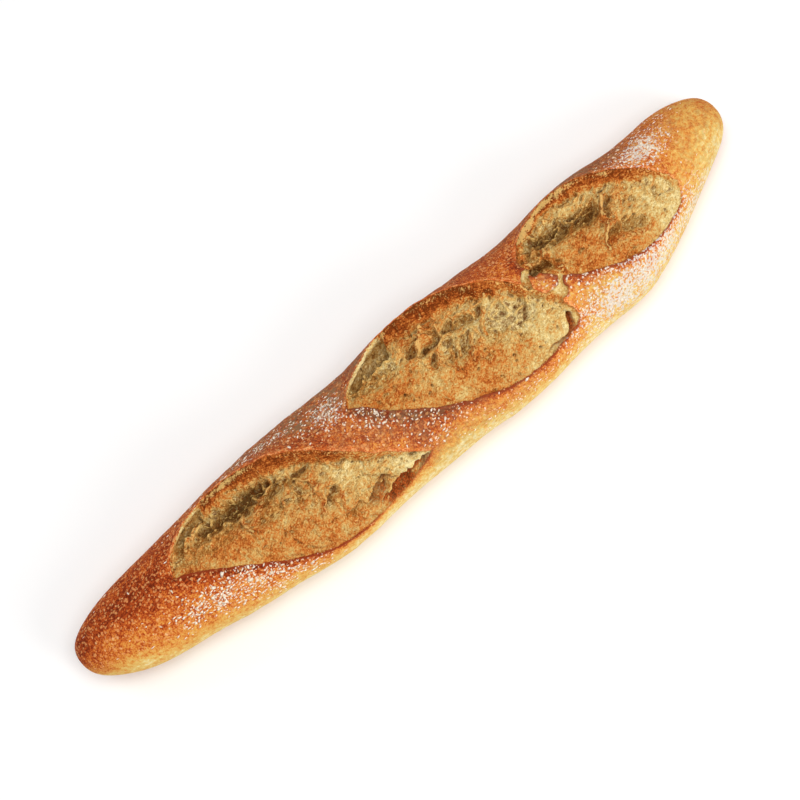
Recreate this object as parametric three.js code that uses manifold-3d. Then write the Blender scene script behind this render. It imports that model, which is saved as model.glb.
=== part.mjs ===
// A short wheat baguette with three slashes that opened in the oven, as one solid loaf.
// Millimetres. +Z is up, +X runs along the loaf, and the raised lips of the slashes, the
// ears, stand on the +Y side. The origin is under the middle of the loaf, on its flat sole.
import * as THREE from "three";
import { mergeVertices } from "three/addons/utils/BufferGeometryUtils.js";
import Module from "manifold-3d";

// ---------------------------------------------------------------- driving dimensions
const LENGTH = 430;
const WIDTH = 72; // of the plain loaf, before the swellings below
const HEIGHT = 51;

const WAIST_HEIGHT = 21; // of the widest level of a cross-section, at mid-length
const TIP_HEIGHT = 14; // of the two ends' points
const SOLE_FACTOR = 1.2; // how far the section would reach below the sole, if it weren't flat

// The loaf rests on a flat rectangle of its sole. Outside it, the sole rises very gently.
const FLAT_SOLE = { halfLength: 118, halfWidth: 16.5, slope: 0.02 };

const ROUNDNESS = 2.15; // exponent of the sections: 2 is an ellipse, more is squarer

// Each end narrows over its own length, by a power of the distance to the tip.
const START_TAPER = { length: 116, power: 0.37 };
const END_TAPER = { length: 97, power: 0.385 };
const TAPER_CORNER = 6; // how quickly a taper turns into the full section
const CROWN_POWER = 0.85; // the crown thins a little later than the width does
const SOLE_POWER = 0.9;

// The loaf isn't straight: both ends bend towards +Y.
const START_BEND = { offset: 12.4, power: 3 };
const END_BEND = { offset: 16, power: 3.4 };

// Swellings and waists: [x, extra half width on the +Y side, on the -Y side, extra height].
const SWELLING_REACH = 26;
const SWELLINGS = [
  [-190, 1, 2, 0],
  [-150, -0.5, -3, 0],
  [-110, 0, -2, 0.8],
  [-70, 1.5, 1.5, 1.8],
  [-30, 0, -1, 0],
  [10, 2, -0.5, 1.2],
  [50, -0.5, 2.5, 1.6],
  [90, -2.5, -0.5, -0.8],
  [130, 0.5, 3.5, 1.4],
  [165, -2.5, -0.5, 0],
  [195, 5, -5.5, 0],
];
const [LEFT, RIGHT, CROWN] = [1, 2, 3]; // the columns of SWELLINGS

// Places on the crust are given unrolled: x along the loaf, and v, the way round it from
// the top, as if its radius were UNROLL_RADIUS. +v is towards +Y.
const UNROLL_RADIUS = 34;

// The bread below a slash: its top lies this far under the crust's surface.
const CRUMB_AT_LOW_EDGE = 1.4;
const CRUMB_AT_MIDDLE = 2.6;
const CRUMB_UNDER_EAR = 6;
const EAR_THICKNESS = 2.4;
const EAR_UNDERCUT = 3.5;
const EAR_REACH = 9; // width over which the crust climbs to the ear
const CUTTER_ROOF = 14; // how far a cutter stands out of the crust
const CUTTER_TIP = 7; // height of a cutter's two points over the crust

// Three slashes. Each runs from start to end, [x, v], and opens to an ear on the +v side
// and to a low edge on the other. An edge's bulge is its greatest distance from the
// straight line, and its powers shape it at the start and at the end. Hollows and ridges
// of the bread are [along, across, length, width, turn in degrees, depth].
const SLASHES = [
  {
    start: [-147, 1.5],
    end: [-8, -33],
    ear: { bulge: 32.6, powers: [0.48, 0.96], rise: 5.5 },
    low: { bulge: -23.6, powers: [1.74, 1.05] },
    hollows: [
      [12, 27, 22, 6, 48, 6], // slit at the start of the ear
      [39, 25, 38, 11, 3, 6], // long pocket
      [10, 6, 26, 7, 10, 3.5], // trough into the starting point
      [62, 19, 13, 8, 30, 3], // first middle hollow
      [76, 22, 16, 8, -30, 3], // second middle hollow
      [111, -5, 17, 7, 70, 6.5], // hole beside the flap
      [128, -10, 27, 5, 26, 5], // slit that ends the slash
    ],
    ridges: [
      [44, 10, 16, 4, -78, 3.5], // strand across the pocket
      [15, 22, 20, 3.5, 75, 2.5], // strand between slit and pocket
      [118, -4, 20, 4, 74, 2], // flap
      [93, -6, 40, 18, -25, 1.2], // swell of the lower half
    ],
  },
  {
    start: [-27, 11],
    end: [90, -30],
    ear: { bulge: 35, powers: [0.66, 0.67], rise: 6.5 },
    low: { bulge: -17.8, powers: [1.11, 0.79] },
    hollows: [
      [13, 21, 34, 6, 32, 6], // gap behind the ear
      [36, 18, 14, 12, 60, 4], // first cup
      [49, 14, 12, 9, 80, 3], // second cup
      [61, 15, 12, 8, 80, 4], // third cup
      [76, 22, 12, 8, -40, 2.5], // holes near the ear
      [85, 12, 20, 13, 10, 3.5], // wide cup
      [98, 8, 16, 4, 85, 2.5], // crescent crack
      [113, -7, 24, 5, 55, 5], // gap that ends the slash
    ],
    ridges: [
      [43, 16, 14, 4, 70, 2], // walls between the cups
      [54, 7, 16, 4, 70, 2.5],
      [67, 9, 16, 4, 80, 2.5],
    ],
  },
  {
    start: [84, 12],
    end: [168, -29],
    ear: { bulge: 30, powers: [0.38, 0.43], rise: 6 },
    low: { bulge: -14.3, powers: [0.47, 0.54] },
    hollows: [
      [24, 5, 48, 15, 28, 6.5], // big pocket
      [14, 16, 16, 8, 20, 3], // side pocket by the ear
      [57, 1, 20, 9, 5, 3.5], // second pocket
      [76, 13, 7, 5, 60, 2.5], // pit
    ],
    ridges: [
      [48, 5, 22, 4.5, 78, 3.5], // curved wall between the pockets
      [22, 12, 20, 4, 25, 2], // wall along the ear
    ],
  },
];

// How finely the shapes are divided. A cutter's ring has a floor, the ear's inner wall and
// a roof.
const LOAF_RINGS = 76;
const LOAF_SIDES = 36;
const RING_CROWDING = 0.8; // 0 spaces the rings evenly, 1 packs them at the tips
const CUTTER_RINGS = 26;
const FLOOR_STEPS = 11;
const WALL_STEPS = 3;
const ROOF_STEPS = 3;

const CRUST_COLOR = "#b9743a";

// ---------------------------------------------------------------- the plain loaf
const signedPower = (value, power) => Math.sign(value) * Math.abs(value) ** power;

// Rises straight from 0 and then stays at 1, with a rounded corner.
const rampToOne = (value) => value / (1 + value ** TAPER_CORNER) ** (1 / TAPER_CORNER);

function taper(x) {
  const fromStart = Math.max(x + LENGTH / 2, 0);
  const fromEnd = Math.max(LENGTH / 2 - x, 0);
  return (
    rampToOne(fromStart / START_TAPER.length) ** START_TAPER.power *
    rampToOne(fromEnd / END_TAPER.length) ** END_TAPER.power
  );
}

function bend(x) {
  const { offset, power } = x < 0 ? START_BEND : END_BEND;
  return offset * Math.abs(x / (LENGTH / 2)) ** power;
}

function swelling(x, column) {
  let sum = 0;
  for (const row of SWELLINGS) {
    const away = (x - row[0]) / SWELLING_REACH;
    sum += row[column] * Math.exp(-away * away);
  }
  return sum;
}

const halfWidth = (x, side) => (WIDTH / 2 + swelling(x, side > 0 ? LEFT : RIGHT)) * taper(x);
const waistHeight = (x) => TIP_HEIGHT + (WAIST_HEIGHT - TIP_HEIGHT) * taper(x);
const crownHeight = (x) =>
  (HEIGHT - WAIST_HEIGHT + swelling(x, CROWN)) * taper(x) ** CROWN_POWER;
const soleDepth = (x) => WAIST_HEIGHT * SOLE_FACTOR * taper(x) ** SOLE_POWER;

function soleLevel(x, y) {
  const beyondLength = Math.max(Math.abs(x) - FLAT_SOLE.halfLength, 0);
  const beyondWidth = Math.max(Math.abs(y) - FLAT_SOLE.halfWidth, 0);
  return FLAT_SOLE.slope * (beyondLength + beyondWidth);
}

// The point at x and v that lies `depth` under the crust, or over it if negative.
function crustPoint(x, v, depth) {
  const angle = v / UNROLL_RADIUS;
  const scale = 1 - depth / UNROLL_RADIUS;
  const across = signedPower(Math.sin(angle), 2 / ROUNDNESS);
  const up = signedPower(Math.cos(angle), 2 / ROUNDNESS);
  const reach = up > 0 ? crownHeight(x) : soleDepth(x);
  const y = bend(x) + halfWidth(x, across) * across * scale;
  const z = Math.max(waistHeight(x) + reach * up * scale, soleLevel(x, y));
  return new THREE.Vector3(x, y, z);
}

// ---------------------------------------------------------------- the slashes
// The slash's own directions on the unrolled crust, along it and across it towards the ear.
function slashFrame({ start, end }) {
  const from = new THREE.Vector2(...start);
  const along = new THREE.Vector2(...end).sub(from);
  const length = along.length();
  along.normalize();
  return { from, along, across: new THREE.Vector2(-along.y, along.x), length };
}

function toCrust(frame, s, t) {
  return frame.from.clone().addScaledVector(frame.along, s).addScaledVector(frame.across, t);
}

function toSlash(frame, x, v) {
  const offset = new THREE.Vector2(x, v).sub(frame.from);
  return { s: offset.dot(frame.along), t: offset.dot(frame.across) };
}

// An edge leaves the straight line by its bulge, at a place that its two powers set.
function edgeAt({ bulge, powers: [first, last] }, fraction) {
  const peak = first / (first + last);
  const inside = THREE.MathUtils.clamp(fraction, 0, 1);
  return bulge * (inside / peak) ** first * ((1 - inside) / (1 - peak)) ** last;
}

// How far the crust climbs above the plain loaf on its way to the ear.
function earRise(slash, s, t) {
  const fraction = s / slash.frame.length;
  if (fraction <= 0 || fraction >= 1) return 0;
  const ear = edgeAt(slash.ear, fraction);
  const low = edgeAt(slash.low, fraction);
  const fade = Math.sqrt(Math.sin(Math.PI * fraction));
  const share = t > ear ? Math.exp((ear - t) / EAR_REACH) : Math.max((t - low) / (ear - low), 0);
  return slash.ear.rise * fade * share;
}

// A smooth mound over an ellipse [along, across, length, width, turn, depth].
function mound([along, across, length, width, turn, depth], s, t) {
  const angle = THREE.MathUtils.degToRad(turn);
  const ds = s - along;
  const dt = t - across;
  const a = (ds * Math.cos(angle) + dt * Math.sin(angle)) / (length / 2);
  const b = (dt * Math.cos(angle) - ds * Math.sin(angle)) / (width / 2);
  return depth * Math.exp(-((a * a + b * b) ** 2));
}

function crumbDepth(slash, s, t) {
  const fraction = s / slash.frame.length;
  const ear = edgeAt(slash.ear, fraction);
  const low = edgeAt(slash.low, fraction);
  const share = (t - low) / Math.max(ear - low, 1);
  const fade = Math.sin(Math.PI * THREE.MathUtils.clamp(fraction, 0, 1));
  const middle = THREE.MathUtils.smoothstep(share, 0, 0.3);
  const underEar = THREE.MathUtils.smoothstep(share, 0.72, 1);
  let depth = THREE.MathUtils.lerp(CRUMB_AT_LOW_EDGE, CRUMB_AT_MIDDLE, middle);
  depth += (CRUMB_UNDER_EAR - CRUMB_AT_MIDDLE) * underEar * fade;
  for (const hollow of slash.hollows) depth += mound(hollow, s, t);
  for (const ridge of slash.ridges) depth -= mound(ridge, s, t);
  return Math.max(depth, CRUMB_AT_LOW_EDGE);
}

// ---------------------------------------------------------------- solids
// A closed skin of rings, each `sides` points round, that starts and ends in one point.
function closedSkin(rings, sides, pointAt) {
  const geometry = new THREE.SphereGeometry(1, sides, rings);
  const position = geometry.getAttribute("position");
  for (let i = 0; i < position.count; i += 1) {
    const ring = Math.floor(i / (sides + 1));
    const side = (i % (sides + 1)) % sides;
    const { x, y, z } = pointAt(ring / rings, side);
    position.setXYZ(i, x, y, z);
  }
  geometry.deleteAttribute("normal");
  geometry.deleteAttribute("uv");
  return mergeVertices(geometry);
}

function loafSkin(slashes) {
  return closedSkin(LOAF_RINGS, LOAF_SIDES, (share, side) => {
    const crowded = (1 - Math.cos(Math.PI * share)) / 2;
    const x = LENGTH * (THREE.MathUtils.lerp(share, crowded, RING_CROWDING) - 1 / 2);
    const v = -UNROLL_RADIUS * Math.PI * (1 - (2 * side) / LOAF_SIDES);
    let rise = 0;
    for (const slash of slashes) {
      const { s, t } = toSlash(slash.frame, x, v);
      rise = Math.max(rise, earRise(slash, s, t));
    }
    return crustPoint(x, v, -rise);
  });
}

// The cross-section of a slash's cutter, listed so that its skin faces out: over the top
// from the low edge to the ear, down the ear's inner side, and back along the bread.
function cutterSection(slash, s) {
  const fraction = s / slash.frame.length;
  const ear = edgeAt(slash.ear, fraction);
  const low = edgeAt(slash.low, fraction);
  const fade = Math.sin(Math.PI * fraction);
  const back = ear + EAR_UNDERCUT * fade;
  const lip = EAR_THICKNESS - earRise(slash, s, ear);
  const points = [];
  for (let i = 0; i <= FLOOR_STEPS; i += 1) {
    const t = THREE.MathUtils.lerp(low, back, i / FLOOR_STEPS);
    points.push({ t, depth: crumbDepth(slash, s, t) });
  }
  const floor = points.at(-1).depth;
  for (let i = 1; i <= WALL_STEPS; i += 1) {
    const share = i / WALL_STEPS;
    const t = THREE.MathUtils.lerp(back, ear, share * share);
    points.push({ t, depth: THREE.MathUtils.lerp(floor, lip, share) });
  }
  for (let i = 0; i <= ROOF_STEPS; i += 1) {
    points.push({ t: THREE.MathUtils.lerp(ear, low, i / ROOF_STEPS), depth: -CUTTER_ROOF });
  }
  return points.reverse();
}

function cutterSkin(slash) {
  const sides = FLOOR_STEPS + WALL_STEPS + ROOF_STEPS + 2;
  return closedSkin(CUTTER_RINGS, sides, (share, side) => {
    const s = slash.frame.length * (0.5 - 0.5 * Math.cos(Math.PI * share));
    const tip = share === 0 || share === 1;
    const { t, depth } = tip ? { t: 0, depth: -CUTTER_TIP } : cutterSection(slash, s)[side];
    const place = toCrust(slash.frame, s, t);
    return crustPoint(place.x, place.y, depth);
  });
}

const wasm = await Module();
wasm.setup();

function toSolid(geometry) {
  const mesh = new wasm.Mesh({
    numProp: 3,
    vertProperties: new Float32Array(geometry.getAttribute("position").array),
    triVerts: new Uint32Array(geometry.index.array),
  });
  return new wasm.Manifold(mesh);
}

function toGeometry(solid) {
  const { vertProperties, triVerts } = solid.getMesh();
  const geometry = new THREE.BufferGeometry();
  geometry.setAttribute("position", new THREE.BufferAttribute(vertProperties, 3));
  geometry.setIndex(new THREE.BufferAttribute(triVerts, 1));
  return geometry;
}

// Moves the geometry so that the origin is under its middle, on the sole.
function standOnOrigin(geometry) {
  geometry.computeBoundingBox();
  const { min, max } = geometry.boundingBox;
  geometry.translate(-(min.x + max.x) / 2, -(min.y + max.y) / 2, -min.z);
  geometry.computeVertexNormals();
  return geometry;
}

function makeLoaf() {
  const slashes = SLASHES.map((slash) => ({ ...slash, frame: slashFrame(slash) }));
  let solid = toSolid(loafSkin(slashes));
  for (const slash of slashes) solid = solid.subtract(toSolid(cutterSkin(slash)));
  const material = new THREE.MeshStandardMaterial({
    color: CRUST_COLOR,
    roughness: 0.8,
    metalness: 0,
    flatShading: true,
  });
  const loaf = new THREE.Mesh(standOnOrigin(toGeometry(solid)), material);
  loaf.name = "loaf";
  return loaf;
}

const baguette = new THREE.Group();
baguette.add(makeLoaf());

export default baguette;
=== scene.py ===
import math

import bmesh
import bpy
import numpy as np
from mathutils import Matrix, Vector
from mathutils.bvhtree import BVHTree


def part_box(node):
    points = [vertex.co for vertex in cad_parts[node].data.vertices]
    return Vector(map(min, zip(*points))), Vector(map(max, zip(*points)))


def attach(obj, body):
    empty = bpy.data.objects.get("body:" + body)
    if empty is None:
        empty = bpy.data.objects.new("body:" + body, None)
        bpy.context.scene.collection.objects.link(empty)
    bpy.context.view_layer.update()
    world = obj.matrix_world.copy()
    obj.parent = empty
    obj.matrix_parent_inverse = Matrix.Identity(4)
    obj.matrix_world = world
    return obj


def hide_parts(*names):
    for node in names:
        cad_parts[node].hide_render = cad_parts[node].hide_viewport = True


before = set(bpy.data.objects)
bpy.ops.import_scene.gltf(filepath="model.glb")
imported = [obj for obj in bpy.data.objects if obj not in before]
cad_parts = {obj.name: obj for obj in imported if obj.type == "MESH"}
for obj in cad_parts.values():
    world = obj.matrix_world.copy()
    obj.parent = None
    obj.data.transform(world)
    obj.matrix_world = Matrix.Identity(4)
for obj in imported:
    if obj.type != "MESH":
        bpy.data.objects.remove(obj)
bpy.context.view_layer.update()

# The looks of a short wheat baguette: one skin of crust and torn crumb, with flour on it.
# All lengths here are millimetres, until a mesh is made. x runs along the loaf, and v is
# the way round it from the top, as if its radius were RADIUS. +v is towards +y.

# ---------- the plain loaf
LENGTH = 430.0
WIDTH = 72.0
HEIGHT = 51.0
WAIST_HEIGHT = 21.0  # where the loaf is widest, in its middle
TIP_HEIGHT = 14.0  # and at its tips
SOLE_FACTOR = 1.2  # waist heights that a round underside would reach down
ROUNDNESS = 2.15  # of a section: 2 is an ellipse, and more is squarer
RADIUS = 34.0
START_TAPER = (116.0, 0.37)  # length and power
END_TAPER = (97.0, 0.385)
TAPER_CORNER = 6.0  # how sharply a taper meets the full width
LEAST_TAPER = 0.02
CROWN_POWER = 0.85
SOLE_POWER = 0.9
START_BEND = (12.4, 3.0)  # distance towards +y at the tip, and power
END_BEND = (16.0, 3.4)
FLAT_SOLE = (118.0, 16.5, 0.02)  # half length, half width, slope outside them
SWELLING_REACH = 26.0
SWELLINGS = [  # x, extra half width towards +y and -y, extra height
    (-190, 1, 2, 0), (-150, -0.5, -3, 0), (-110, 0, -2, 0.8), (-70, 1.5, 1.5, 1.8), (-30, 0, -1, 0),
    (10, 2, -0.5, 1.2), (50, -0.5, 2.5, 1.6), (90, -2.5, -0.5, -0.8), (130, 0.5, 3.5, 1.4),
    (165, -2.5, -0.5, 0), (195, 5, -5.5, 0),
]

MM = (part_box("loaf")[1].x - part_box("loaf")[0].x) / LENGTH


def ramp_to_one(value):
    value = np.maximum(value, 0)
    return value / (1 + value**TAPER_CORNER) ** (1 / TAPER_CORNER)


def taper(x):
    start = ramp_to_one((x + LENGTH / 2) / START_TAPER[0]) ** START_TAPER[1]
    end = ramp_to_one((LENGTH / 2 - x) / END_TAPER[0]) ** END_TAPER[1]
    return np.maximum(start * end, LEAST_TAPER)


def bend(x):
    far = np.abs(x / (LENGTH / 2))
    start = START_BEND[0] * far ** START_BEND[1]
    end = END_BEND[0] * far ** END_BEND[1]
    return np.where(x < 0, start, end)


def swelling(x, column):
    bumps = [row[column] * np.exp(-(((x - row[0]) / SWELLING_REACH) ** 2)) for row in SWELLINGS]
    return sum(bumps)


def half_width(x, left):
    return (WIDTH / 2 + np.where(left, swelling(x, 1), swelling(x, 2))) * taper(x)


def waist_height(x):
    return TIP_HEIGHT + (WAIST_HEIGHT - TIP_HEIGHT) * taper(x)


def crown_height(x):
    return (HEIGHT - WAIST_HEIGHT + swelling(x, 3)) * taper(x) ** CROWN_POWER


def sole_depth(x):
    return WAIST_HEIGHT * SOLE_FACTOR * taper(x) ** SOLE_POWER


def sole_level(x, y):
    length, width, slope = FLAT_SOLE
    return slope * (np.maximum(np.abs(x) - length, 0) + np.maximum(np.abs(y) - width, 0))


def crust_point(x, v, depth):
    """The point at x and v that lies depth under the plain crust."""
    angle = v / RADIUS
    scale = 1 - depth / RADIUS
    power = 2 / ROUNDNESS
    across = np.sign(np.sin(angle)) * np.abs(np.sin(angle)) ** power
    up = np.sign(np.cos(angle)) * np.abs(np.cos(angle)) ** power
    reach = np.where(up > 0, crown_height(x), sole_depth(x))
    y = bend(x) + half_width(x, across > 0) * across * scale
    z = np.maximum(waist_height(x) + reach * up * scale, sole_level(x, y))
    return x, y, z


def unroll(x, y, z):
    """The v and the depth under the plain crust of any point."""
    side = y - bend(x)
    lift = z - waist_height(x)
    across = np.abs(side) / half_width(x, side > 0)
    up = np.abs(lift) / np.where(lift > 0, crown_height(x), sole_depth(x))
    across = across ** (ROUNDNESS / 2)
    up = up ** (ROUNDNESS / 2)
    scale = (across * across + up * up) ** (1 / ROUNDNESS)
    angle = np.arctan2(np.copysign(across, side), np.copysign(up, lift))
    return angle * RADIUS, RADIUS * (1 - scale)


# ---------- noise
def ease(value, low, high):
    """From 0 to 1 between low and high, gently at both ends."""
    share = np.clip((value - low) / (high - low), 0, 1)
    return share * share * (3 - 2 * share)


def mix(low, high, share):
    return low + (high - low) * share


NOISE_GAIN = 1.6  # brings the noise to about -1 to 1


def noise(x, y, z, seed):
    """Smooth noise whose features are about 1 wide. Each seed gives another pattern."""
    random = np.random.default_rng(seed)
    order = random.permutation(256)
    slopes = random.normal(size=(256, 3)).astype(np.float32)
    slopes /= np.linalg.norm(slopes, axis=1)[:, None]
    cells, inside, fades = [], [], []
    for place in (x, y, z):
        cell = np.floor(place).astype(np.int32)
        part = (place - cell).astype(np.float32)
        cells.append(cell)
        inside.append(part)
        fades.append(part**3 * (part * (part * 6 - 15) + 10))
    total = np.zeros(np.broadcast(x, y, z).shape, np.float32)
    for corner in np.ndindex(2, 2, 2):
        pick = 0
        for axis in range(3):
            pick = order[(pick + cells[axis] + corner[axis]) & 255]
        slope = slopes[pick]
        weight = 1.0
        value = 0.0
        for axis in range(3):
            weight = weight * (fades[axis] if corner[axis] else 1 - fades[axis])
            value = value + slope[..., axis] * (inside[axis] - corner[axis])
        total += weight * value
    return NOISE_GAIN * total


def layered(place, size, octaves, seed):
    """Noise in octaves: place is (x, y, z) in millimetres, and size the largest feature."""
    total = 0.0
    for octave in range(octaves):
        finer = 2**octave / size
        total = total + noise(*(c * finer for c in place), seed + octave) / 2**octave
    return total


def layered_flat(s, t, level, size, octaves, seed):
    """Layered noise in one plane. Each level of a seed gives another pattern."""
    return layered((s, t, level + 0 * s), size, octaves, seed)


def cells_2d(s, t, size, seed):
    """For cells about size wide: the distances to the nearest two centres, and a random
    number from 0 to 1 of the nearest."""
    random = np.random.default_rng(seed)
    jitter = random.uniform(0.1, 0.9, (64, 64, 2)).astype(np.float32)
    number = random.uniform(0, 1, (64, 64)).astype(np.float32)
    i, j = np.floor(s / size).astype(int), np.floor(t / size).astype(int)
    nearest = np.full(np.shape(s), 9.0, np.float32)
    second = nearest.copy()
    chosen = np.zeros_like(nearest)
    for di in (-1, 0, 1):
        for dj in (-1, 0, 1):
            at = (i + di) & 63, (j + dj) & 63
            ds = i + di + jitter[..., 0][at] - s / size
            dt = j + dj + jitter[..., 1][at] - t / size
            away = np.sqrt(ds * ds + dt * dt)
            closer = away < nearest
            second = np.where(closer, nearest, np.minimum(second, away))
            chosen = np.where(closer, number[at], chosen)
            nearest = np.where(closer, away, nearest)
    return nearest * size, second * size, chosen


# ---------- the slashes
# Each runs from start to end, (x, v), and opens to an ear on the +v side and to a low edge
# on the other. An edge is (bulge, power at the start, power at the end). The ear rises above
# the plain crust. Its inner face has a width at the start and a later one, and the shares of
# the length between which it changes. Undercuts are (first share, last share, reach below
# the ear). Hollows and ridges are strokes from one place to another, measured from the
# start: (along, across, along, across, width, depth).
EAR_REACH = 9.0  # how far behind the ear the crust climbs
RIB_TURN = math.radians(36)
EDGE_SHARES = (1 - np.cos(np.linspace(0, math.pi, 260))) / 2  # points of an edge
EDGE_NEAR = 12.0, 14.0  # distances from an edge are measured this far along and across it
NO_EDGE = 20.0  # the distance given further away
# The crumb's mean depth at shares of the way across, from the low edge.
BODY = [0, 0.06, 0.3, 0.5, 0.62, 0.8], [1.2, 0.9, 1.5, 2.4, 3.0, 3.0]
SLASHES = [{
    "start": (-147, 1.5),
    "end": (-8, -33),
    "ear": (32.6, 0.48, 0.96),
    "rise": 5.5,
    "low": (-23.6, 1.74, 1.05),
    "face": (2.2, 5.6, 0.28, 0.5),
    "undercuts": [(0.0, 0.2, 3.2)],
    "hollows": [
        (26, 19, 58, 23, 16, 7.5), (38, 22, 55, 25, 7, 10), (7, 10, 30, 10, 12, 2.6),
        (6, 14, 12, 22, 3.5, 5), (12, 22, 21, 27, 3.5, 5), (5, 5, 25, 4.5, 3, 2.5),
        (57, 13, 65, 20, 6, 4.5), (71, 18, 77, 20, 5, 5), (78, 19, 82, 22, 3.5, 5),
        (51, 7, 69, 10, 4, 3), (73, 9, 75, 14, 3.5, 3.5), (86, 0, 90, 6, 3.2, 5),
        (92, -11, 100, -9, 5, 3.5), (107, -11, 116, -3, 7, 5), (116, -15, 126, -8, 7.5, 5.5),
        (126, -7.5, 139, -2, 4, 5), (67, -16, 69, -18, 2.4, 2.5),
    ],
    "ridges": [
        (26, 28, 58, 29, 2.5, 1.5), (42, 17, 47, 6, 2.4, 3.5), (15, 17, 19, 29, 2.4, 3),
        (52, 11, 63, 24, 3, 3), (66, 9, 73, 20, 2.6, 3), (82, -2, 84, 12, 3, 2.5),
        (92, -5, 93, 7, 3, 1.6), (114, 6, 139, -4, 8, 1.8), (113, -21, 118, -4, 2.4, 2.5),
    ],
}, {
    "start": (-27, 11),
    "end": (90, -30),
    "ear": (35, 0.66, 0.67),
    "rise": 6.5,
    "low": (-17.8, 1.11, 0.79),
    "face": (1.6, 5.4, 0.12, 0.3),
    "undercuts": [(0.0, 0.24, 4.0)],
    "hollows": [
        (5, 14, 27, 25, 7, 5), (27, 25, 32, 28, 5, 4.5), (4, 9, 24, 12, 10, 3),
        (38, 15, 43, 21, 4, 5.5), (39, 26, 45, 27, 3, 4), (44, 12, 54, 16, 3.4, 4.5),
        (52, 25, 55, 18, 3.6, 5), (47, 4, 51, 8, 3, 3.5), (61, 21, 62, 20, 6, 4.5),
        (67, 20, 74, 20, 5.5, 4), (59, 13, 57, 4, 5, 4), (66, 12, 64, 4, 3.6, 3.5),
        (78, 25, 77, 19, 3.4, 4), (82, 13, 94, 15, 13, 3.4), (100, 18, 98, 10, 2.0, 6),
        (92, 1, 95, 5, 2.5, 2.5), (119, 3.5, 118.5, -5, 2.2, 5), (118, -6, 105, -10, 2.2, 4),
        (73, -1, 76, 2, 2.5, 2.5), (19, 0, 20, 0, 2.6, 3), (28, -4, 28.5, -4, 2.2, 2.5),
    ],
    "ridges": [
        (32, 19, 37, 25, 8, 3), (45, 18, 50, 23, 8, 3.5), (52, 6, 56, 14, 2.4, 2.5),
        (58, 9, 57, 1, 2.2, 2), (69, 11, 67, 4, 2.4, 2.5), (80, 22, 77, 11, 2.6, 2.5),
        (84, 27, 96, 21, 2.4, 2), (69, 2, 74, 8, 5, 1.5), (104, 6, 112, -6, 9, 1.5),
    ],
}, {
    "start": (84, 12),
    "end": (168, -29),
    "ear": (30, 0.38, 0.43),
    "rise": 6.0,
    "low": (-14.3, 0.47, 0.54),
    "face": (2.0, 5.0, 0.22, 0.5),
    "undercuts": [],
    "hollows": [
        (8, 11, 43, 13, 12, 7), (5, 2, 12, 0, 9, 4), (5, -8, 16, -4, 7, 7), (7, 18, 9, 21, 4, 3),
        (19, 15, 22, 17, 3.5, 3.5), (26, 15, 28, 15, 3, 3), (50, 9, 53, 16, 2.2, 4),
        (45, 15, 46, 10, 2.8, 4), (50, -1, 66, 2, 8, 4.5), (50, -3, 58, -1, 2.5, 3),
        (60, 1, 61, 1, 2.5, 3), (67, 3, 67, 2, 3, 3), (61, 14, 65, 13, 3, 2), (77, 14, 77, 10, 2.8, 3),
        (93, 9, 92, 5, 2, 2.5), (56, -12, 58, -12, 2.4, 2.5),
    ],
    "ridges": [
        (50, 18, 47, 6, 3.4, 3.5), (47, 6, 45, -5, 3.4, 3.5), (2, 11, 4, -6, 3, 2.5),
        (13, 2, 20, -8, 3, 3.5), (20, -8, 22, -13, 3, 2.5), (48, -3.5, 72, -4, 2.6, 2),
        (30, 6, 33, 12, 2, 2), (71, 2, 73, -3, 1.8, 1.5),
    ],
}]
TEARS = [  # small tears beside the slashes: (x, v, x, v, width, depth)
    (82, -12, 91, -13, 6, 1.6), (84, -13, 86, -17, 4, 1.2), (79, -2, 83, 4, 3.0, 0.8),
    (92, -12, 96, -6, 2.6, 1.0), (96, -6, 97, 1, 2.6, 0.8), (86, 2, 94, 1, 4, 6.0),
]
TEAR_ALONG = 0.85  # they are as pale as crumb at this share of a slash's length


def edge_at(edge, share):
    """How far across an edge lies, at a share of the length."""
    bulge, first, last = edge
    peak = first / (first + last)
    share = np.clip(share, 0, 1)
    return bulge * (share / peak) ** first * ((1 - share) / (1 - peak)) ** last


def beside(stroke, s, t):
    """How far from the middle line of a stroke, and on which side: its width is 1 to either."""
    s0, t0, s1, t1, width, _ = stroke
    length = math.hypot(s1 - s0, t1 - t0)
    ds, dt = (s1 - s0) / length, (t1 - t0) / length
    share = np.clip((s - s0) * ds + (t - t0) * dt, 0, length)
    off_s, off_t = s - s0 - share * ds, t - t0 - share * dt
    return np.hypot(off_s, off_t) / (width / 2), off_t > 0


def within(stroke, s, t, steepness=1.0):
    """1 in the middle of a stroke and 0 outside it. Its side towards the ear is the steeper."""
    away, upper = beside(stroke, s, t)
    away = away * np.where(upper, steepness, 1 / steepness)
    return np.exp(-(away**4))


def distance_to(s, t, line_s, line_t):
    """The distance to the nearest point of a line."""
    best = np.full(np.shape(s), 1e9, np.float32)
    for ps, pt in zip(line_s, line_t):
        np.minimum(best, (s - ps) ** 2 + (t - pt) ** 2, out=best)
    return np.sqrt(best)


# ---------- maps over the crust
STEP = 0.6  # of the maps and of the grid in space
TURN = 2 * math.pi * RADIUS
MAP_X = np.arange(-219.0, 219.01, STEP, dtype=np.float32)
MAP_V = np.linspace(-TURN / 2, TURN / 2, int(TURN / STEP) + 1, dtype=np.float32)
V_STEP = float(MAP_V[1] - MAP_V[0])
FINE_REACH = 1.8  # relief smaller than this counts as fine


def blurred(field, size):
    """A map, smoothed over about size millimetres."""
    fx = np.fft.fftfreq(field.shape[0], STEP)[:, None]
    fv = np.fft.rfftfreq(field.shape[1], V_STEP)[None]
    keep = np.exp(-2 * (math.pi * size / 2) ** 2 * (fx * fx + fv * fv))
    return np.fft.irfft2(np.fft.rfft2(field) * keep, field.shape).astype(np.float32)


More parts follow.
